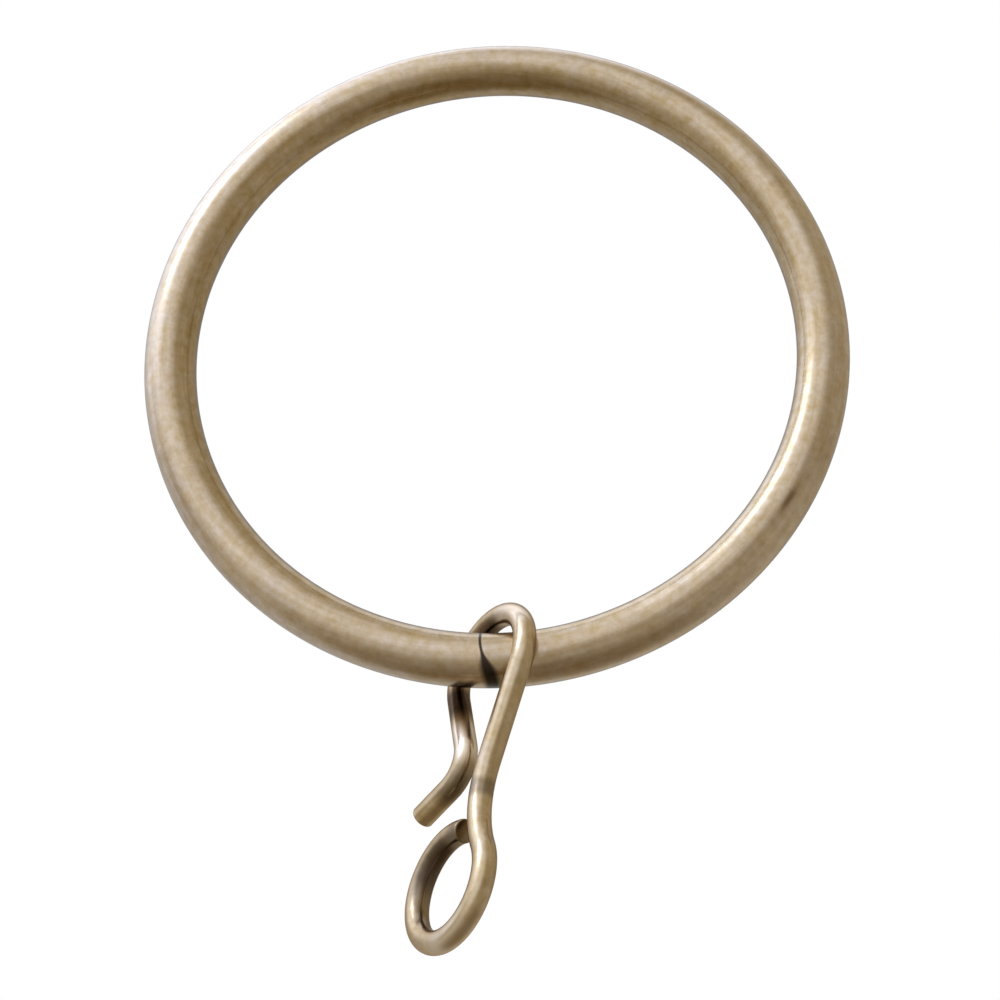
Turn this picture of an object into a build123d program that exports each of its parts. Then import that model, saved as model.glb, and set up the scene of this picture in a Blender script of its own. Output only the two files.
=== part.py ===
from build123d import *
import os
from math import acos, cos, degrees, radians, sin

# Curtain ring that slides on a pole, with a bent wire hook hanging from it.
# Origin at the ring's centre, pole axis along Y, ring upright in the XZ plane, hook at the bottom.
# All lengths in millimetres, all angles in degrees.

# Ring
ring_inner_dia = 43.25
ring_wire_dia = 3.75

# Hook wire
hook_wire_dia = 1.6
end_round = 0.2

# How the hook hangs on the ring
hook_swivel = 37.5
hook_lean = 12.5
hook_shift = 0.2
loop_clearance = 0.25
loop_drop = 0.42
loop_forward = 0.15

# Tail behind the ring
back_leg_angle = 30.5
throat_radius = 2.1
throat_gap = 1.58
tail_angle = 62.5
tail_length = 3.2

# Stem in front of the ring
stem_angle = 11.0
stem_length = 6.9
waist_radius = 7.5
waist_turn = 49.0

# Eye that takes a curtain pin
eye_inner_dia = 5.8
eye_gap = 0.4

# Derived sizes
ring_radius = (ring_inner_dia + ring_wire_dia) / 2
squareness = cos(radians(hook_swivel)) * cos(radians(hook_lean))
loop_radius = ((ring_wire_dia + hook_wire_dia) / 2 + loop_clearance) / squareness
eye_radius = (eye_inner_dia + hook_wire_dia) / 2


def direction(angle):
    """Unit vector in the hook's plane at this angle."""
    return Vector(cos(radians(angle)), sin(radians(angle)))


def bend(centre, radius, start, turn):
    """Arc of the wire's centre line about a centre point."""
    return CenterArc(centre, radius, start, turn)


def hook_plane():
    """Flat plane of the hook: its x axis runs to the back of the ring, its y axis runs up."""
    swivel = radians(hook_swivel)
    lean = radians(hook_lean)
    across = (cos(swivel) * cos(lean), sin(swivel) * cos(lean), -sin(lean))
    return Plane(
        origin=(hook_shift, 0, -ring_radius),
        x_dir=(-sin(swivel), cos(swivel), 0),
        z_dir=across,
    )


def hook_line():
    """Centre line of the hook wire, flat, from the tail's tip to the eye's cut end."""
    loop_centre = Vector(-loop_forward, -loop_drop)

    # The stem leaves the loop's front side and runs down.
    stem_side = 180 + stem_angle
    stem_top = loop_centre + direction(stem_side) * loop_radius
    stem_foot = stem_top + direction(stem_angle - 90) * stem_length

    # The waist turns the stem forward, and the eye turns it back the other way.
    waist_centre = stem_foot + direction(stem_side) * waist_radius
    eye_side = stem_angle - waist_turn
    eye_centre = waist_centre + direction(eye_side) * (waist_radius + eye_radius)
    spacing = waist_radius + eye_radius
    stem_face = waist_radius + hook_wire_dia / 2 + eye_gap
    open_angle = max(
        degrees(acos((corner**2 + spacing**2 - stem_face**2) / (2 * corner * spacing)))
        for corner in (eye_inner_dia / 2, eye_inner_dia / 2 + hook_wire_dia)
    )

    # The back leg leans in until the throat's bend is one gap away from the stem.
    leg_top = loop_centre + direction(-back_leg_angle) * loop_radius
    leg_way = direction(-90 - back_leg_angle)
    to_throat = direction(-back_leg_angle) * throat_radius
    reach = (leg_top + to_throat - stem_top).dot(direction(stem_angle))
    leg_slope = sin(radians(back_leg_angle + stem_angle))
    leg_length = (reach - throat_radius - hook_wire_dia - throat_gap) / leg_slope
    leg_foot = leg_top + leg_way * leg_length

    # The throat turns the tail out to the back.
    throat_centre = leg_foot + to_throat
    throat_turn = back_leg_angle + tail_angle
    tail_top = throat_centre + direction(180 + tail_angle) * throat_radius
    tail_tip = tail_top + direction(tail_angle - 90) * tail_length

    return Wire(
        [
            Line(tail_tip, tail_top),
            bend(throat_centre, throat_radius, 180 + tail_angle, -throat_turn),
            Line(leg_foot, leg_top),
            bend(loop_centre, loop_radius, -back_leg_angle, stem_side + back_leg_angle),
            Line(stem_top, stem_foot),
            bend(waist_centre, waist_radius, stem_angle, -waist_turn),
            bend(eye_centre, eye_radius, eye_side + 180, 360 - open_angle),
        ]
    )


def make_ring():
    """Closed ring of round rod."""
    return Plane.XZ * Torus(ring_radius, ring_wire_dia / 2)


def make_wire_hook():
    """Hook of round wire, bent flat, with its two cut ends just broken at the edge."""
    line = hook_plane() * hook_line()
    section = Plane(origin=line @ 0, z_dir=line % 0) * Circle(hook_wire_dia / 2)
    wire = sweep(section, path=line)
    cut_ends = wire.faces().filter_by(GeomType.PLANE)
    return fillet(cut_ends.edges(), end_round)


os.makedirs("parts", exist_ok=True)
export_step(make_ring(), "parts/ring.step")
export_step(make_wire_hook(), "parts/wire_hook.step")
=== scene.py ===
"""Curtain ring with a loose wire hook: the finish of the brass, and a plain studio round it."""

import math

import bpy
import bmesh
from bpy.props import FloatProperty, FloatVectorProperty, IntProperty, PointerProperty
from mathutils import Matrix, Vector


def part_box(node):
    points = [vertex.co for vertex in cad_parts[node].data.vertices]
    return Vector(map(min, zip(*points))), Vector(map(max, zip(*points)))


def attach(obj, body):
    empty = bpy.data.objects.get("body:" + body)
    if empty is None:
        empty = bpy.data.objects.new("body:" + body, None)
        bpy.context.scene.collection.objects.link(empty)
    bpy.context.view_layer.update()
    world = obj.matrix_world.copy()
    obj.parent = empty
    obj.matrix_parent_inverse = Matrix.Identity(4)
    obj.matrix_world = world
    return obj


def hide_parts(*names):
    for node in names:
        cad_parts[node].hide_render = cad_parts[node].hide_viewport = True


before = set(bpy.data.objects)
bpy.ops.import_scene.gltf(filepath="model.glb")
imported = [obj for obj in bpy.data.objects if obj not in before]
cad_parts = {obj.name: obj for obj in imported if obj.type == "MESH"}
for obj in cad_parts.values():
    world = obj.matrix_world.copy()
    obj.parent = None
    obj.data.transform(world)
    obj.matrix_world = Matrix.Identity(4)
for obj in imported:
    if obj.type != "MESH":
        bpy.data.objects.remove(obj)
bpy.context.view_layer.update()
RING_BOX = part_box("ring")

bl_info = {
    "name": "Curtain ring",
    "version": (1, 0, 0),
    "blender": (4, 5, 0),
    "location": "View3D > Sidebar > Curtain ring",
    "description": "Makes the ring, its wire hook and a plain studio",
    "category": "Object",
}

MM = 0.001
ROD = RING_BOX[1].y - RING_BOX[0].y
RING_OUTSIDE = RING_BOX[1].x - RING_BOX[0].x


def linear(hex_colour):
    """Turn an sRGB hex colour into the linear colour that a shader takes."""
    parts = [int(hex_colour[i : i + 2], 16) / 255 for i in (1, 3, 5)]
    return [p / 12.92 if p <= 0.04045 else ((p + 0.055) / 1.055) ** 2.4 for p in parts]


def length(name, description, millimetres):
    """A length setting, given in millimetres and kept in metres."""
    return FloatProperty(
        name=name,
        description=description,
        default=millimetres * MM,
        min=0.0,
        precision=5,
        unit="LENGTH",
    )


def angle(name, description, degrees):
    """An angle setting, given in degrees."""
    return FloatProperty(
        name=name, description=description, default=math.radians(degrees), unit="ROTATION"
    )


def colour(name, description, hex_colour):
    """A colour setting, given as sRGB hex."""
    return FloatVectorProperty(
        name=name,
        description=description,
        default=linear(hex_colour),
        min=0.0,
        max=1.0,
        size=3,
        subtype="COLOR",
    )


class RingSizes(bpy.types.PropertyGroup):
    """Sizes of the closed ring."""

    rod: FloatProperty(
        name="Rod", description="Diameter of the ring's rod", default=ROD, unit="LENGTH"
    )
    outside: FloatProperty(
        name="Outside",
        description="Outside diameter of the ring",
        default=RING_OUTSIDE,
        unit="LENGTH",
    )
    steps_along: IntProperty(
        name="Steps along", description="Divisions along the ring", default=480, min=12
    )
    steps_round: IntProperty(
        name="Steps round", description="Divisions round the rod", default=64, min=8
    )


class HookSizes(bpy.types.PropertyGroup):
    """Sizes of the wire hook, as a run of straights and bends from the tail to the eye.

    The back leg's length and the turns of the throat and eye follow from the gaps of the solid model.
    """

    # The wire is 1.6 mm thick, and the little left off keeps it inside the solid model's box.
    wire: length("Wire", "Diameter of the hook's wire", 1.588)
    end_round: length("End rounding", "Rounding of the cut ends", 0.2)
    tail_length: length("Tail", "Straight splayed tail", 3.2)
    throat_radius: length("Throat radius", "Bend between the tail and the back leg", 2.1)
    throat_turn: angle("Throat turn", "How far the throat turns", 93.0)
    back_leg_angle: angle("Back leg angle", "Lean of the back leg from upright", 30.5)
    back_leg_length: length("Back leg", "Straight back leg", 4.3727)
    loop_radius: length("Loop radius", "Bend over the ring", 3.7765)
    loop_forward: length("Loop forward", "Loop's centre in front of the ring's rod", 0.15)
    loop_drop: length("Loop drop", "Loop's centre below the ring's rod", 0.42)
    stem_angle: angle("Stem angle", "Lean of the stem from upright", 11.0)
    stem_length: length("Stem", "Straight stem in front of the ring", 6.9)
    waist_radius: length("Waist radius", "Bend from the stem out to the eye", 7.5)
    waist_turn: angle("Waist turn", "How far the waist turns", 49.0)
    eye_radius: length("Eye radius", "Bend of the eye, at the wire's centre", 3.7)
    eye_turn: angle("Eye turn", "How far the eye closes", 313.98)
    swivel: angle("Swivel", "Turn of the hook on the ring's rod", 37.5)
    lean: angle("Lean", "Sideways lean of the hook", 12.5)
    shift: length("Shift", "Where the hook crosses the rod, right of the middle", 0.2)
    steps_round: IntProperty(
        name="Steps round", description="Divisions round the wire", default=56, min=8
    )
    step: length("Step", "Spacing of the points along the wire", 0.12)


class Finish(bpy.types.PropertyGroup):
    """Colours of the antique brass."""

    brass: colour("Brass", "Brass where the darkening is rubbed thin", "#D8C8BD")
    wire_brass: colour("Wire brass", "Brass of the hook where it is rubbed thin", "#DAC8B5")
    patina: colour("Patina", "Brass where the darkening is whole", "#A68B57")
    wire_slant: colour("Wire at a slant", "Tint of the hook's brass seen at a slant", "#E6D3BE")
    golden: colour("Golden cast", "Tint of the patches that lean to gold", "#FFFDEE")
    greyish: colour("Grey cast", "Tint of the patches that lean to grey", "#FAFDFF")
    # Painted highlight: the light colour laid on the hook where its highlights fall.
    bright: colour("Bright", "Brass on the hook where rubbing wore through", "#F4E9DC")
    # Painted shade: the dark colour laid on the hook where shade falls, under the ring and in its
    # bends.
    painted_shade: colour("Painted shade", "Dark tarnish in the hook's recesses", "#3D2E29")
    # A dark line round the rod at the bottom of the ring, where the hook hangs.
    dark_line: colour("Dark line", "Dark line where the ends of the ring's rod meet", "#2A211E")
    nick: colour("Nick", "Brown in the small nick at the ring's lower right", "#5E3B20")


class Studio(bpy.types.PropertyGroup):
    """Camera, key lamp and floor."""

    lens: FloatProperty(
        name="Lens", description="Focal length in millimetres", default=72.0, min=1.0
    )
    distance: length("Distance", "Camera to the point that it looks at", 139.6)
    azimuth: angle("Azimuth", "Camera to the right of the front", 3.80)
    below: angle("Below", "How far below the object the camera stands", 21.84)
    roll: angle("Roll", "Turn of the camera about its line of sight", 0.96)
    lamp_azimuth: angle("Lamp azimuth", "Key lamp to the right of the front", -62.0)
    lamp_height: angle("Lamp height", "Key lamp above the level", 45.0)
    lamp_distance: length("Lamp distance", "Key lamp to the ring", 500.0)
    lamp_size: length("Lamp size", "Side of the square key lamp", 200.0)
    lamp_light: FloatProperty(
        name="Lamp light", description="How bright the key lamp's face is", default=2.7, min=0.0
    )
    lamp_colour: colour("Lamp colour", "Colour of the key lamp", "#DCE8FF")
    floor_drop: length("Floor", "How far the floor lies below the ring's centre", 300.0)


def active_settings():
    """All settings of the scene."""
    return bpy.context.scene.curtain_ring


# Paths


def walk(start, heading, steps, spacing):
    """Points along a run of steps: no radius and a length, or a radius and a turn to the left."""
    points = [Vector(start)]
    for radius, amount in steps:
        ahead = Vector((math.cos(heading), math.sin(heading)))
        if radius is None:
            pieces = max(1, math.ceil(amount / spacing))
            first = points[-1].copy()
            points += [first + ahead * (amount * k / pieces) for k in range(1, pieces + 1)]
            continue
        side = math.copysign(1.0, amount)
        centre = points[-1] + Vector((-ahead.y, ahead.x)) * (side * radius)
        arm = points[-1] - centre
        pieces = max(8, math.ceil(abs(amount) * radius / spacing))
        for k in range(1, pieces + 1):
            points.append(centre + Matrix.Rotation(amount * k / pieces, 2) @ arm)
        heading += amount
    return points


def hook_line(s):
    """Centre line of the hook in its own flat plane, from the tail's tip to the eye's cut end."""
    quarter = math.pi / 2
    out = Vector((math.cos(s.back_leg_angle), -math.sin(s.back_leg_angle)))
    leg_top = Vector((-s.loop_forward, -s.loop_drop)) + out * s.loop_radius
    down = [
        (None, s.back_leg_length),
        (s.throat_radius, s.throat_turn),
        (None, s.tail_length),
    ]
    round_to_eye = [
        (s.loop_radius, math.pi + s.stem_angle + s.back_leg_angle),
        (None, s.stem_length),
        (s.waist_radius, -s.waist_turn),
        (s.eye_radius, s.eye_turn),
    ]
    tail = walk(leg_top, -quarter - s.back_leg_angle, down, s.step)
    rest = walk(leg_top, quarter - s.back_leg_angle, round_to_eye, s.step)
    return tail[::-1] + rest[1:]


def hook_plane(s):
    """Matrix from the hook's flat plane to the object: x runs to the back, y runs up."""
    back = Vector((-math.sin(s.swivel), math.cos(s.swivel), 0.0))
    across = Vector(
        (
            math.cos(s.swivel) * math.cos(s.lean),
            math.sin(s.swivel) * math.cos(s.lean),
            -math.sin(s.lean),
        )
    )
    up = across.cross(back)
    ring_radius = (RING_OUTSIDE - ROD) / 2
    turn = Matrix((back, up, across)).transposed().to_4x4()
    return Matrix.Translation((s.shift, 0.0, -ring_radius)) @ turn


# Node helpers


def add_node(tree, kind, settings=None, inputs=None):
    """Add a node, set its fields, then its sockets: a socket takes a value or another node's output."""
    node = tree.nodes.new(kind)
    for name, value in (settings or {}).items():
        setattr(node, name, value)
    for key, value in (inputs or {}).items():
        socket = node.inputs[key]
        if isinstance(value, bpy.types.NodeSocket):
            tree.links.new(value, socket)
        else:
            socket.default_value = value
    return node


def new_geometry_tree(name, sizes):
    """A geometry tree with a geometry input, the named float or whole-number inputs, and its ends."""
    tree = bpy.data.node_groups.new(name, "GeometryNodeTree")
    tree.interface.new_socket("Geometry", in_out="INPUT", socket_type="NodeSocketGeometry")
    for label, kind in sizes:
        tree.interface.new_socket(label, in_out="INPUT", socket_type=kind)
    tree.interface.new_socket("Geometry", in_out="OUTPUT", socket_type="NodeSocketGeometry")
    return tree, tree.nodes.new("NodeGroupInput"), tree.nodes.new("NodeGroupOutput")


def end_geometry_tree(tree, given, result, ends):
    """Finish a tree: real geometry, smooth faces and the piece's material."""
    real = add_node(tree, "GeometryNodeRealizeInstances", inputs={"Geometry": result})
    smooth = add_node(tree, "GeometryNodeSetShadeSmooth", inputs={"Geometry": real.outputs[0]})
    painted = add_node(
        tree,
        "GeometryNodeSetMaterial",
        inputs={"Geometry": smooth.outputs[0], "Material": given.outputs["Material"]},
    )
    tree.links.new(painted.outputs[0], ends.inputs[0])


def round_section(tree, given):
    """Circle that is the round section of the rod or wire."""
    radius = add_node(
        tree,
        "ShaderNodeMath",
        {"operation": "MULTIPLY"},
        {0: given.outputs["Diameter"], 1: 0.5},
    )
    return add_node(
        tree,
        "GeometryNodeCurvePrimitiveCircle",
        {"mode": "RADIUS"},
        {"Resolution": given.outputs["Steps round"], "Radius": radius.outputs[0]},
    )


def ring_tree():
    """Rod bent into a closed ring, lying upright with its axis along Y."""
    tree, given, ends = new_geometry_tree(
        "Closed ring",
        [
            ("Diameter", "NodeSocketFloat"),
            ("Ring radius", "NodeSocketFloat"),
            ("Steps along", "NodeSocketInt"),
            ("Steps round", "NodeSocketInt"),
            ("Material", "NodeSocketMaterial"),
        ],
    )
    circle = add_node(
        tree,
        "GeometryNodeCurvePrimitiveCircle",
        {"mode": "RADIUS"},
        {"Resolution": given.outputs["Steps along"], "Radius": given.outputs["Ring radius"]},
    )
    upright = add_node(
        tree,
        "GeometryNodeTransform",
        inputs={"Geometry": circle.outputs[0], "Rotation": (math.pi / 2, 0.0, 0.0)},
    )
    section = round_section(tree, given)
    rod = add_node(
        tree,
        "GeometryNodeCurveToMesh",
        inputs={"Curve": upright.outputs[0], "Profile Curve": section.outputs[0]},
    )
    end_geometry_tree(tree, given, rod.outputs[0], ends)
    return tree


def wire_tree():
    """Round wire along a flat path, with flat cut ends.

    Every point keeps its place on the unbent wire, and how far it faces left of the way along.
    """
    tree, given, ends = new_geometry_tree(
        "Bent wire",
        [
            ("Diameter", "NodeSocketFloat"),
            ("Steps round", "NodeSocketInt"),
            ("Across", "NodeSocketVector"),
            ("Material", "NodeSocketMaterial"),
        ],
    )
    path = add_node(tree, "GeometryNodeMeshToCurve", inputs={"Mesh": given.outputs["Geometry"]})
    travelled = add_node(tree, "GeometryNodeSplineParameter")
    kept_travel = add_node(
        tree,
        "GeometryNodeCaptureAttribute",
        {"domain": "POINT"},
        {"Geometry": path.outputs[0]},
    )
    kept_travel.capture_items.new("FLOAT", "Along")
    tree.links.new(travelled.outputs["Length"], kept_travel.inputs["Along"])
    way = add_node(tree, "GeometryNodeInputTangent")
    kept_travel.capture_items.new("VECTOR", "Way")
    tree.links.new(way.outputs[0], kept_travel.inputs["Way"])
    section = round_section(tree, given)
    place = add_node(tree, "GeometryNodeInputPosition")
    kept_place = add_node(
        tree,
        "GeometryNodeCaptureAttribute",
        {"domain": "POINT"},
        {"Geometry": section.outputs[0]},
    )
    kept_place.capture_items.new("VECTOR", "Section")
    tree.links.new(place.outputs[0], kept_place.inputs["Section"])
    wire = add_node(
        tree,
        "GeometryNodeCurveToMesh",
        inputs={
            "Curve": kept_travel.outputs["Geometry"],
            "Profile Curve": kept_place.outputs["Geometry"],
            "Fill Caps": True,
        },
    )
    parts = add_node(tree, "ShaderNodeSeparateXYZ", inputs={0: kept_place.outputs["Section"]})
    unbent = add_node(
        tree,
        "ShaderNodeCombineXYZ",
        inputs={
            0: parts.outputs[0],
            1: parts.outputs[1],
            2: kept_travel.outputs["Along"],
        },
    )
    stored = add_node(
        tree,
        "GeometryNodeStoreNamedAttribute",
        {"data_type": "FLOAT_VECTOR", "domain": "POINT"},
        {"Geometry": wire.outputs[0], "Name": "unbent", "Value": unbent.outputs[0]},
    )
    left = add_node(
        tree,
        "ShaderNodeVectorMath",
        {"operation": "CROSS_PRODUCT"},
        {0: given.outputs["Across"], 1: kept_travel.outputs["Way"]},
    )
    facing = add_node(
        tree,
        "ShaderNodeVectorMath",
        {"operation": "DOT_PRODUCT"},
        {0: left.outputs[0], 1: add_node(tree, "GeometryNodeInputNormal").outputs[0]},
    )
    sided = add_node(
        tree,
        "GeometryNodeStoreNamedAttribute",
        {"data_type": "FLOAT", "domain": "POINT"},
        {"Geometry": stored.outputs[0], "Name": "side", "Value": facing.outputs["Value"]},
    )
    end_geometry_tree(tree, given, sided.outputs[0], ends)
    return tree


def grow(name, base_mesh, tree, values):
    """Run a geometry tree on a mesh and keep the result as a plain object."""
    carrier = bpy.data.objects.new(name + "_path", base_mesh)
    bpy.context.scene.collection.objects.link(carrier)
    modifier = carrier.modifiers.new("Shape", "NODES")
    modifier.node_group = tree
    for item in tree.interface.items_tree:
        if item.in_out == "INPUT" and item.name in values:
            modifier[item.identifier] = values[item.name]
    depsgraph = bpy.context.evaluated_depsgraph_get()
    mesh = bpy.data.meshes.new_from_object(carrier.evaluated_get(depsgraph))
    bpy.data.objects.remove(carrier)
    mesh.name = name
    piece = bpy.data.objects.new(name, mesh)
    bpy.context.scene.collection.objects.link(piece)
    return piece


def line_mesh(name, points):
    """Mesh with only the edges that join the points in turn."""
    mesh = bpy.data.meshes.new(name)
    mesh.from_pydata(points, [(i, i + 1) for i in range(len(points) - 1)], [])
    return mesh


def point_outwards(mesh):
    """Turn every face of a closed mesh outwards."""
    work = bmesh.new()
    work.from_mesh(mesh)
    bmesh.ops.recalc_face_normals(work, faces=work.faces)
    work.to_mesh(mesh)
    work.free()


# Materials

# The patterns of the wear, each with its size in millimetres, its detail and its share of the wear.
# The rubbing lines of the real finish are finer than 0.05 mm, so they are drawn coarse enough to show.
CLOUDS = (1.6, 4.0, 0.55)
SPECKS = (0.6, 2.0, 0.75)
RUB_LINES = (0.4, 3.0, 0.7)
PATTERN_ROUGHNESS = 0.6

# How much slower a rubbing line changes along the rod than across it.
LINE_STRETCH = 0.08

# How far the darkening is worn through on average, from where the three patterns add to it, and how
# much lighter the outside of the ring is made, and its inside darker.
WORN = 0.5
WORN_START = WORN - (CLOUDS[2] + SPECKS[2] + RUB_LINES[2]) / 2
OUTSIDE_SHARE = 0.2

# Patches of a golden or grey cast: their size in millimetres, the slice of the noise that sets them
# apart from the other patterns, and their detail, roughness and spread.
CAST = 1.1
CAST_SLICE = 3.0
CAST_DETAIL = 1.0
CAST_ROUGHNESS = 0.4
CAST_SPREAD = (0.2, 0.8)

# The surface: its roughness, how much the wear changes it, and the relief in millimetres.
RING_ROUGHNESS = 0.24
HOOK_ROUGHNESS = 0.22
ROUGH_SPREAD = 0.03
RELIEF = 0.012
RELIEF_STRENGTH = 0.35
SPECK_RELIEF = 0.5
COAT_WEIGHT = 0.15
COAT_ROUGHNESS = 0.25

# Painted shade and painted highlights on the hook, laid where its shade and highlights fall: its
# middle along the wire from the tail's tip and its reach, how far left of the way along it must face
# to be whole (-1 is all round), and its depth, below 0 for a painted highlight.
PAINTED_SHADE_AND_HIGHLIGHTS = (
    (6.9, 2.0, -1, -0.7),
    (21.0, 3.0, -1, -0.35),
    (45.6, 2.6, -1, -0.35),
    (29.5, 7.0, 0.0, 0.15),
    (3.8, 2.0, 0.9, 0.65),
    (10.3, 2.3, -1, 0.93),
    (17.2, 3.2, 0.8, 0.85),
    (34.5, 1.0, -1, 0.5),
    (43.0, 1.8, 0.9, 0.45),
    (50.5, 3.5, 1.0, 0.5),
    (55.6, 4.6, 0.75, 0.88),
    (59.2, 1.5, -1, 0.5),
)
# Share of each patch's reach where its painted shade or painted highlight is whole.
PAINTED_PATCH_CORE = 0.3

# The dark line round the rod at the bottom of the ring, where the hook hangs: the lean of its fall
# from the inside to the outside of the ring, how far right it lies at its start and end, and its width
# there, in millimetres. It drifts right and
# widens between two shares of the rod's thickness, and its edge fades between two of its half width.
DARK_LINE_LEAN = 22.0
DARK_LINE_ACROSS = (-0.48, 0.38)
DARK_LINE_DRIFT = (0.05, 0.95)
DARK_LINE_WIDTH = (0.22, 1.2)
DARK_LINE_WIDENS = (0.28, 0.66)
DARK_LINE_EDGE = (0.4, 1.3)
DARK_LINE_DEPTH = 0.95

# The nick: its middle on the rod's front, its turn in the ring's plane, its size and its strength.
NICK_PLACE = (20.5, -1.80, -12.6)
NICK_TURN = 57.0
NICK_SIZE = (1.7, 0.6, 0.36)
NICK_DEPTH = 0.65


def wire_grain(tree):
    """Where a point of the hook lies in its patterns, plain and stretched along the wire.

    The wire was drawn and finished straight, so its patterns lie on the unbent wire.
    """
    source = add_node(tree, "ShaderNodeAttribute", {"attribute_name": "unbent"})
    place = source.outputs["Vector"]
    stretched = add_node(
        tree,
        "ShaderNodeVectorMath",
        {"operation": "MULTIPLY"},
        {0: place, 1: (1.0, 1.0, LINE_STRETCH)},
    )
    return place, stretched.outputs[0]


def ring_grain(tree):
    """Where a point of the ring lies in its patterns, plain and stretched, and how far out it lies.

    The stretched pattern reads the distance from the pole's line, so its lines run round the ring.
    """
    place = add_node(tree, "ShaderNodeTexCoord").outputs["Object"]
    parts = add_node(tree, "ShaderNodeSeparateXYZ", inputs={0: place})
    flat = add_node(
        tree,
        "ShaderNodeCombineXYZ",
        inputs={0: parts.outputs["X"], 2: parts.outputs["Z"]},
    )
    out = add_node(tree, "ShaderNodeVectorMath", {"operation": "LENGTH"}, {0: flat.outputs[0]})
    slow = add_node(
        tree,
        "ShaderNodeVectorMath",
        {"operation": "MULTIPLY"},
        {0: flat.outputs[0], 1: (LINE_STRETCH, 0.0, LINE_STRETCH)},
    )
    lines = add_node(
        tree,
        "ShaderNodeCombineXYZ",
        inputs={0: out.outputs["Value"], 1: parts.outputs["Y"]},
    )
    stretched = add_node(
        tree,
        "ShaderNodeVectorMath",
        {"operation": "ADD"},
        {0: lines.outputs[0], 1: slow.outputs[0]},
    )
    return place, stretched.outputs[0], out.outputs["Value"]


def antique_brass(name, finish, rough, unbent):
    """Antique brass: drawn brass, chemically darkened, rubbed back to a satin and lacquered.

    The eye sees a soft grey-gold sheen with faint cloudy patches, and fine rubbing lines that run
    along the rod. The brass is browner and a little duller where the darkening stayed.
    """
    material = bpy.data.materials.new(name)
    material.use_nodes = True
    tree = material.node_tree
    tree.nodes.clear()

    if unbent:
        place, stretched = wire_grain(tree)
        thin, slant = finish.wire_brass, finish.wire_slant
        worn = WORN_START
    else:
        place, stretched, out = ring_grain(tree)
        thin, slant = finish.brass, (1.0, 1.0, 1.0)
        # The brass is lighter on the outside of the ring than on its inside.
        lighter_outside = add_node(
            tree,
            "ShaderNodeMapRange",
            inputs={
                "Value": out,
                "From Min": RING_OUTSIDE / 2 - ROD,
                "From Max": RING_OUTSIDE / 2,
                "To Min": WORN_START - OUTSIDE_SHARE,
                "To Max": WORN_START + OUTSIDE_SHARE,
            },
        )
        worn = lighter_outside.outputs[0]

    noises = []
    for pattern, source in ((CLOUDS, place), (SPECKS, place), (RUB_LINES, stretched)):
        size, detail, share = pattern
        noise = add_node(
            tree,
            "ShaderNodeTexNoise",
            {"noise_dimensions": "3D"},
            {
                "Vector": source,
                "Scale": 1.0 / (size * MM),
                "Detail": detail,
                "Roughness": PATTERN_ROUGHNESS,
            },
        )
        added = add_node(
            tree,
            "ShaderNodeMath",
            {"operation": "MULTIPLY_ADD"},
            {0: noise.outputs["Fac"], 1: share, 2: worn},
        )
        worn = added.outputs[0]
        noises.append(noise.outputs["Fac"])
    _, specks, lines = noises

    tint = add_node(
        tree,
        "ShaderNodeMix",
        {"data_type": "RGBA"},
        {"Factor": worn, "A": (*finish.patina, 1.0), "B": (*thin, 1.0)},
    )
    base = in_two_casts(tree, finish, place, tint.outputs["Result"])
    if unbent:
        # The hook gets its painted shade and painted highlights.
        base = with_painted_shade_and_highlights(tree, finish, place, base)
    else:
        base = nicked(tree, finish, place, base)
        # The ring gets a dark line round the rod at its bottom, where the hook hangs.
        base = with_dark_line(tree, finish, place, base)

    softness = add_node(
        tree,
        "ShaderNodeMapRange",
        inputs={
            "Value": worn,
            "To Min": rough + ROUGH_SPREAD,
            "To Max": rough - ROUGH_SPREAD,
        },
    )
    relief = add_node(
        tree,
        "ShaderNodeMath",
        {"operation": "MULTIPLY_ADD"},
        {0: specks, 1: SPECK_RELIEF, 2: lines},
    )
    bump = add_node(
        tree,
        "ShaderNodeBump",
        inputs={
            "Strength": RELIEF_STRENGTH,
            "Distance": RELIEF * MM,
            "Height": relief.outputs[0],
        },
    )
    shader = add_node(
        tree,
        "ShaderNodeBsdfPrincipled",
        inputs={
            "Base Color": base,
            "Metallic": 1.0,
            "Specular Tint": (*slant, 1.0),
            "Roughness": softness.outputs[0],
            "Normal": bump.outputs[0],
            "Coat Weight": COAT_WEIGHT,
            "Coat Roughness": COAT_ROUGHNESS,
        },
    )
    end = add_node(tree, "ShaderNodeOutputMaterial")
    tree.links.new(shader.outputs[0], end.inputs["Surface"])
    return material


def in_two_casts(tree, finish, place, tint):
    """The lacquered darkening leans a little to gold in some patches, and to grey in others."""
    patches = add_node(
        tree,
        "ShaderNodeTexNoise",
        {"noise_dimensions": "4D"},
        {
            "Vector": place,
            "W": CAST_SLICE,
            "Scale": 1.0 / (CAST * MM),
            "Detail": CAST_DETAIL,
            "Roughness": CAST_ROUGHNESS,
        },
    )
    leaning = add_node(
        tree,
        "ShaderNodeMapRange",
        inputs={
            "Value": patches.outputs["Fac"],
            "From Min": CAST_SPREAD[0],
            "From Max": CAST_SPREAD[1],
        },
    )
    cast = add_node(
        tree,
        "ShaderNodeMix",
        {"data_type": "RGBA"},
        {"Factor": leaning.outputs[0], "A": (*finish.golden, 1.0), "B": (*finish.greyish, 1.0)},
    )
    toned = add_node(
        tree,
        "ShaderNodeMix",
        {"data_type": "RGBA", "blend_type": "MULTIPLY"},
        {"Factor": 1.0, "A": tint, "B": cast.outputs["Result"]},
    )
    return toned.outputs["Result"]


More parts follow.
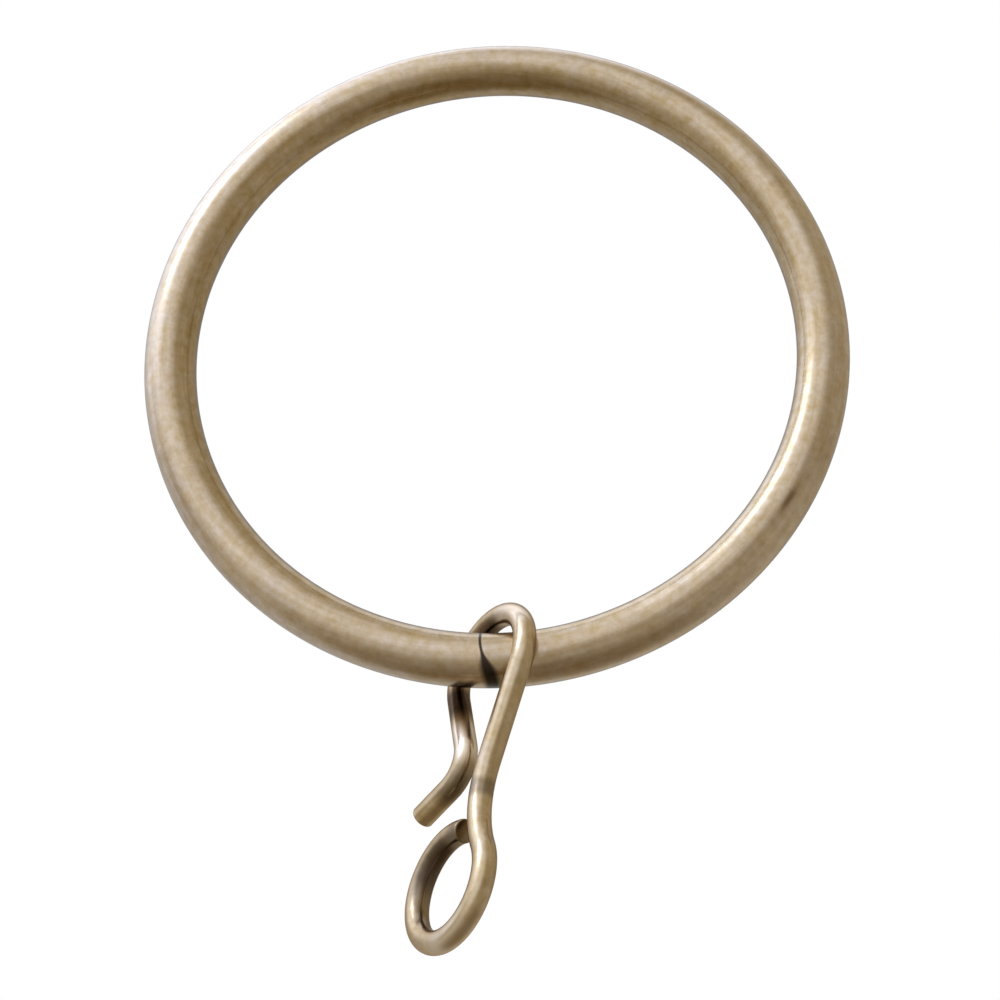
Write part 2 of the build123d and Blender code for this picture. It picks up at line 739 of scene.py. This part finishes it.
def with_painted_shade_and_highlights(tree, finish, place, base):
    """Painted shade on the hook where shade falls, and painted highlights where its highlights fall."""
    along = add_node(tree, "ShaderNodeSeparateXYZ", inputs={0: place}).outputs["Z"]
    side = add_node(tree, "ShaderNodeAttribute", {"attribute_name": "side"}).outputs["Fac"]
    for middle, reach, facing, depth in PAINTED_SHADE_AND_HIGHLIGHTS:
        offset = add_node(
            tree, "ShaderNodeMath", {"operation": "SUBTRACT"}, {0: along, 1: middle * MM}
        )
        far = add_node(tree, "ShaderNodeMath", {"operation": "ABSOLUTE"}, {0: offset.outputs[0]})
        near = add_node(
            tree,
            "ShaderNodeMapRange",
            {"interpolation_type": "SMOOTHSTEP"},
            {
                "Value": far.outputs[0],
                "From Min": PAINTED_PATCH_CORE * reach * MM,
                "From Max": reach * MM,
                "To Min": abs(depth),
                "To Max": 0.0,
            },
        )
        turned = add_node(
            tree,
            "ShaderNodeMapRange",
            {"interpolation_type": "SMOOTHSTEP"},
            {"Value": side, "From Min": facing - 1.0, "From Max": facing},
        )
        amount = add_node(
            tree,
            "ShaderNodeMath",
            {"operation": "MULTIPLY"},
            {0: near.outputs[0], 1: turned.outputs[0]},
        )
        # The dark patches take the painted shade colour, the light ones the painted highlight colour.
        shade = finish.painted_shade if depth > 0 else finish.bright
        base = add_node(
            tree,
            "ShaderNodeMix",
            {"data_type": "RGBA"},
            {"Factor": amount.outputs[0], "A": base, "B": (*shade, 1.0)},
        ).outputs["Result"]
    return base


def with_dark_line(tree, finish, place, base):
    """Dark line round the rod at the bottom of the ring, where the hook hangs, wider at the outside."""
    parts = add_node(tree, "ShaderNodeSeparateXYZ", inputs={0: place})
    lean = math.radians(DARK_LINE_LEAN)
    fall = add_node(
        tree,
        "ShaderNodeVectorMath",
        {"operation": "DOT_PRODUCT"},
        {0: place, 1: (0.0, math.sin(lean), -math.cos(lean))},
    )
    inside = math.cos(lean) * (RING_OUTSIDE - ROD) / 2 - ROD / 2
    line = add_node(
        tree,
        "ShaderNodeMapRange",
        {"interpolation_type": "SMOOTHSTEP"},
        {
            "Value": fall.outputs["Value"],
            "From Min": inside + ROD * DARK_LINE_DRIFT[0],
            "From Max": inside + ROD * DARK_LINE_DRIFT[1],
            "To Min": DARK_LINE_ACROSS[0] * MM,
            "To Max": DARK_LINE_ACROSS[1] * MM,
        },
    )
    half = add_node(
        tree,
        "ShaderNodeMapRange",
        {"interpolation_type": "SMOOTHSTEP"},
        {
            "Value": fall.outputs["Value"],
            "From Min": inside + ROD * DARK_LINE_WIDENS[0],
            "From Max": inside + ROD * DARK_LINE_WIDENS[1],
            "To Min": DARK_LINE_WIDTH[0] * MM / 2,
            "To Max": DARK_LINE_WIDTH[1] * MM / 2,
        },
    )
    offset = add_node(
        tree,
        "ShaderNodeMath",
        {"operation": "SUBTRACT"},
        {0: parts.outputs["X"], 1: line.outputs[0]},
    )
    far = add_node(tree, "ShaderNodeMath", {"operation": "ABSOLUTE"}, {0: offset.outputs[0]})
    share = add_node(
        tree,
        "ShaderNodeMath",
        {"operation": "DIVIDE"},
        {0: far.outputs[0], 1: half.outputs[0]},
    )
    dark = add_node(
        tree,
        "ShaderNodeMapRange",
        {"interpolation_type": "SMOOTHSTEP"},
        {
            "Value": share.outputs[0],
            "From Min": DARK_LINE_EDGE[0],
            "From Max": DARK_LINE_EDGE[1],
            "To Min": DARK_LINE_DEPTH,
            "To Max": 0.0,
        },
    )
    low = add_node(
        tree,
        "ShaderNodeMath",
        {"operation": "LESS_THAN"},
        {0: parts.outputs["Z"], 1: 0.0},
    )
    amount = add_node(
        tree, "ShaderNodeMath", {"operation": "MULTIPLY"}, {0: dark.outputs[0], 1: low.outputs[0]}
    )
    mixed = add_node(
        tree,
        "ShaderNodeMix",
        {"data_type": "RGBA"},
        {"Factor": amount.outputs[0], "A": base, "B": (*finish.dark_line, 1.0)},
    )
    return mixed.outputs["Result"]


def nicked(tree, finish, place, base):
    """Small brown nick in the front of the ring, at its lower right, as the photo shows it."""
    centre = [c * MM for c in NICK_PLACE]
    offset = add_node(
        tree, "ShaderNodeVectorMath", {"operation": "SUBTRACT"}, {0: place, 1: centre}
    )
    along = add_node(
        tree,
        "ShaderNodeVectorRotate",
        {"rotation_type": "Y_AXIS"},
        {"Vector": offset.outputs[0], "Angle": math.radians(NICK_TURN)},
    )
    sized = add_node(
        tree,
        "ShaderNodeVectorMath",
        {"operation": "DIVIDE"},
        {0: along.outputs[0], 1: [c * MM for c in NICK_SIZE]},
    )
    far = add_node(tree, "ShaderNodeVectorMath", {"operation": "LENGTH"}, {0: sized.outputs[0]})
    depth = add_node(
        tree,
        "ShaderNodeMapRange",
        {"interpolation_type": "SMOOTHSTEP"},
        {
            "Value": far.outputs["Value"],
            "To Min": NICK_DEPTH,
            "To Max": 0.0,
        },
    )
    mixed = add_node(
        tree,
        "ShaderNodeMix",
        {"data_type": "RGBA"},
        {"Factor": depth.outputs[0], "A": base, "B": (*finish.nick, 1.0)},
    )
    return mixed.outputs["Result"]


# Pieces

# The cut ends are rounded where two faces meet at more than this angle, in this many steps.
CUT_END_ANGLE = math.radians(60.0)
CUT_END_STEPS = 4


class CURTAIN_OT_ring(bpy.types.Operator):
    """Make the closed brass ring"""

    bl_idname = "curtain.ring"
    bl_label = "Ring"

    def execute(self, context):
        sizes = active_settings().ring
        brass = antique_brass("antique_brass_rod", active_settings().finish, RING_ROUGHNESS, False)
        values = {
            "Diameter": sizes.rod,
            "Ring radius": (sizes.outside - sizes.rod) / 2,
            "Steps along": sizes.steps_along,
            "Steps round": sizes.steps_round,
            "Material": brass,
        }
        ring = grow("ring_rod", bpy.data.meshes.new("ring_start"), ring_tree(), values)
        point_outwards(ring.data)
        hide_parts("ring")
        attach(ring, "ring")
        return {"FINISHED"}


class CURTAIN_OT_wire_hook(bpy.types.Operator):
    """Make the bent wire hook that hangs on the ring"""

    bl_idname = "curtain.wire_hook"
    bl_label = "Wire hook"

    def execute(self, context):
        sizes = active_settings().hook
        brass = antique_brass("antique_brass_wire", active_settings().finish, HOOK_ROUGHNESS, True)
        plane = hook_plane(sizes)
        points = [plane @ p.to_3d() for p in hook_line(sizes)]
        values = {
            "Diameter": sizes.wire,
            "Steps round": sizes.steps_round,
            "Across": plane.to_3x3().col[2],
            "Material": brass,
        }
        hook = grow("hook_wire", line_mesh("hook_line", points), wire_tree(), values)
        point_outwards(hook.data)
        rounded = hook.modifiers.new("Cut ends", "BEVEL")
        rounded.limit_method = "ANGLE"
        rounded.angle_limit = CUT_END_ANGLE
        rounded.width = sizes.end_round
        rounded.segments = CUT_END_STEPS
        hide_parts("wire_hook")
        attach(hook, "wire_hook")
        return {"FINISHED"}


# Studio


def aim(place, target):
    """Rotation that points an object's -Z axis from a place to a target."""
    return (Vector(target) - Vector(place)).to_track_quat("-Z", "Y")


def direction(azimuth, elevation):
    """Unit vector to an azimuth right of the front and an elevation."""
    level = math.cos(elevation)
    return Vector(
        (math.sin(azimuth) * level, -math.cos(azimuth) * level, math.sin(elevation))
    )


def make_key_lamp(studio):
    """Square lamp that shines at the ring, as bright as its light says whatever its size."""
    place = direction(studio.lamp_azimuth, studio.lamp_height) * studio.lamp_distance
    data = bpy.data.lights.new("key_lamp", "AREA")
    data.shape = "SQUARE"
    data.size = studio.lamp_size
    data.energy = studio.lamp_light * math.pi * studio.lamp_size**2
    data.color = studio.lamp_colour
    lamp = bpy.data.objects.new("key_lamp", data)
    lamp.location = place
    lamp.rotation_mode = "QUATERNION"
    lamp.rotation_quaternion = aim(place, (0.0, 0.0, 0.0))
    bpy.context.scene.collection.objects.link(lamp)


def bright(light):
    """Linear colour of a light given as sRGB hex and strength."""
    hex_colour, strength = light
    return (*(c * strength for c in linear(hex_colour)), 1.0)


# The plain light of the room, and the room that metal mirrors: its light straight down, level and
# straight up, then its soft zones, each with azimuth right of the front, elevation, reach in
# degrees, and its light.
ROOM_PLAIN = ("#FFFFFF", 0.9)
ROOM_BELOW = ("#FFFFF4", 1.13)
ROOM_LEVEL = ("#FFF0D2", 0.43)
ROOM_ABOVE = ("#FFF5DA", 0.59)
ROOM_ZONES = (
    (-130, 43, 68, ("#E2EBFF", 2.2)),
    (66, -84, 90, ("#FFE5B9", 0.26)),
    (-141, -6, 62, ("#FFFDFA", 0.56)),
    (178, 26, 46, ("#F4F1F4", 0.38)),
    (-31, 29, 59, ("#F6F9FF", 1.22)),
    (-62, 45, 34, ("#DFE9FF", 2.3)),
)


def make_world():
    """White to the camera, a plain room with soft light and dark to the metal, and plain light."""
    world = bpy.data.worlds.new("studio_room")
    bpy.context.scene.world = world
    world.use_nodes = True
    tree = world.node_tree
    tree.nodes.clear()
    where = add_node(tree, "ShaderNodeTexCoord").outputs["Generated"]
    height = add_node(tree, "ShaderNodeSeparateXYZ", inputs={0: where}).outputs["Z"]
    depth = add_node(tree, "ShaderNodeMath", {"operation": "MULTIPLY"}, {0: height, 1: -1.0})
    layers = [(height, ROOM_ABOVE), (depth.outputs[0], ROOM_BELOW)]
    for azimuth, elevation, reach, light in ROOM_ZONES:
        middle = direction(math.radians(azimuth), math.radians(elevation))
        toward = add_node(
            tree, "ShaderNodeVectorMath", {"operation": "DOT_PRODUCT"}, {0: where, 1: middle}
        )
        share = add_node(
            tree,
            "ShaderNodeMapRange",
            {"interpolation_type": "SMOOTHSTEP"},
            {"Value": toward.outputs["Value"], "From Min": math.cos(math.radians(reach))},
        )
        layers.append((share.outputs[0], light))
    room = bright(ROOM_LEVEL)
    for share, light in layers:
        mixed = add_node(
            tree,
            "ShaderNodeMix",
            {"data_type": "RGBA"},
            {"Factor": share, "A": room, "B": bright(light)},
        )
        room = mixed.outputs["Result"]

    # Metal and glass mirror the room, and every other surface takes plain light from it.
    paths = add_node(tree, "ShaderNodeLightPath").outputs
    mirrored = add_node(
        tree,
        "ShaderNodeMath",
        {"operation": "ADD", "use_clamp": True},
        {0: paths["Is Glossy Ray"], 1: paths["Is Transmission Ray"]},
    )
    plain = add_node(tree, "ShaderNodeBackground", inputs={"Color": bright(ROOM_PLAIN)})
    room_light = add_node(tree, "ShaderNodeBackground", inputs={"Color": room})
    felt = add_node(
        tree,
        "ShaderNodeMixShader",
        inputs={0: mirrored.outputs[0], 1: plain.outputs[0], 2: room_light.outputs[0]},
    )
    white = add_node(tree, "ShaderNodeBackground", inputs={"Color": (1.0, 1.0, 1.0, 1.0)})
    choice = add_node(
        tree,
        "ShaderNodeMixShader",
        inputs={0: paths["Is Camera Ray"], 1: felt.outputs[0], 2: white.outputs[0]},
    )
    end = add_node(tree, "ShaderNodeOutputWorld")
    tree.links.new(choice.outputs[0], end.inputs["Surface"])


# The point in the ring's middle plane that the camera looks at.
AIM_POINT = (0.62, 0.0, -11.80)


def make_camera(studio):
    """Camera below the front, looking up at the ring as the photo does."""
    target = Vector(AIM_POINT) * MM
    place = target + direction(studio.azimuth, -studio.below) * studio.distance
    data = bpy.data.cameras.new("camera")
    data.lens = studio.lens
    data.clip_start = MM
    camera = bpy.data.objects.new("camera", data)
    camera.location = place
    camera.rotation_mode = "QUATERNION"
    roll = Matrix.Rotation(studio.roll, 4, "Z").to_quaternion()
    camera.rotation_quaternion = aim(place, target) @ roll
    bpy.context.scene.collection.objects.link(camera)
    bpy.context.scene.camera = camera


# The floor: half its side in metres, its paint and its roughness.
FLOOR_HALF = 1.5
FLOOR_PAINT = "#F4F3F0"
FLOOR_ROUGHNESS = 0.9


def make_floor(studio):
    """Pale floor, well below the hanging ring."""
    mesh = bpy.data.meshes.new("floor")
    corners = [(FLOOR_HALF * x, FLOOR_HALF * y) for x, y in ((-1, -1), (1, -1), (1, 1), (-1, 1))]
    mesh.from_pydata([(x, y, -studio.floor_drop) for x, y in corners], [], [(0, 1, 2, 3)])
    material = bpy.data.materials.new("floor_paint")
    material.use_nodes = True
    shader = material.node_tree.nodes["Principled BSDF"]
    shader.inputs["Base Color"].default_value = (*linear(FLOOR_PAINT), 1.0)
    shader.inputs["Roughness"].default_value = FLOOR_ROUGHNESS
    mesh.materials.append(material)
    floor = bpy.data.objects.new("floor", mesh)
    bpy.context.scene.collection.objects.link(floor)
    floor.visible_glossy = False


class CURTAIN_OT_studio(bpy.types.Operator):
    """Make the camera, the key lamp, the room and the pale floor"""

    bl_idname = "curtain.studio"
    bl_label = "Studio"

    def execute(self, context):
        studio = active_settings().studio
        make_camera(studio)
        make_world()
        make_key_lamp(studio)
        make_floor(studio)
        context.scene.view_settings.view_transform = "Standard"
        return {"FINISHED"}


# Add-on


class CurtainRingSettings(bpy.types.PropertyGroup):
    """All settings of the curtain ring."""

    ring: PointerProperty(type=RingSizes)
    hook: PointerProperty(type=HookSizes)
    finish: PointerProperty(type=Finish)
    studio: PointerProperty(type=Studio)


class CURTAIN_PT_panel(bpy.types.Panel):
    """Panel that lists the settings and the steps"""

    bl_idname = "CURTAIN_PT_panel"
    bl_label = "Curtain ring"
    bl_space_type = "VIEW_3D"
    bl_region_type = "UI"
    bl_category = "Curtain ring"

    def draw(self, context):
        settings = active_settings()
        for group in (settings.ring, settings.hook, settings.finish, settings.studio):
            box = self.layout.box()
            for name in group.__annotations__:
                box.prop(group, name)
        for operator in STEPS:
            self.layout.operator(operator.bl_idname)


STEPS = (CURTAIN_OT_studio, CURTAIN_OT_ring, CURTAIN_OT_wire_hook)
GROUPS = (RingSizes, HookSizes, Finish, Studio, CurtainRingSettings)


def register():
    """Register the classes and attach the settings to the scene."""
    for cls in (*GROUPS, *STEPS, CURTAIN_PT_panel):
        bpy.utils.register_class(cls)
    bpy.types.Scene.curtain_ring = PointerProperty(type=CurtainRingSettings)


def unregister():
    """Take away what register added."""
    del bpy.types.Scene.curtain_ring
    for cls in reversed((*GROUPS, *STEPS, CURTAIN_PT_panel)):
        bpy.utils.unregister_class(cls)


def main():
    """Register, and make every piece in order."""
    register()
    bpy.ops.curtain.studio()
    bpy.ops.curtain.ring()
    bpy.ops.curtain.wire_hook()


if __name__ == "__main__":
    main()
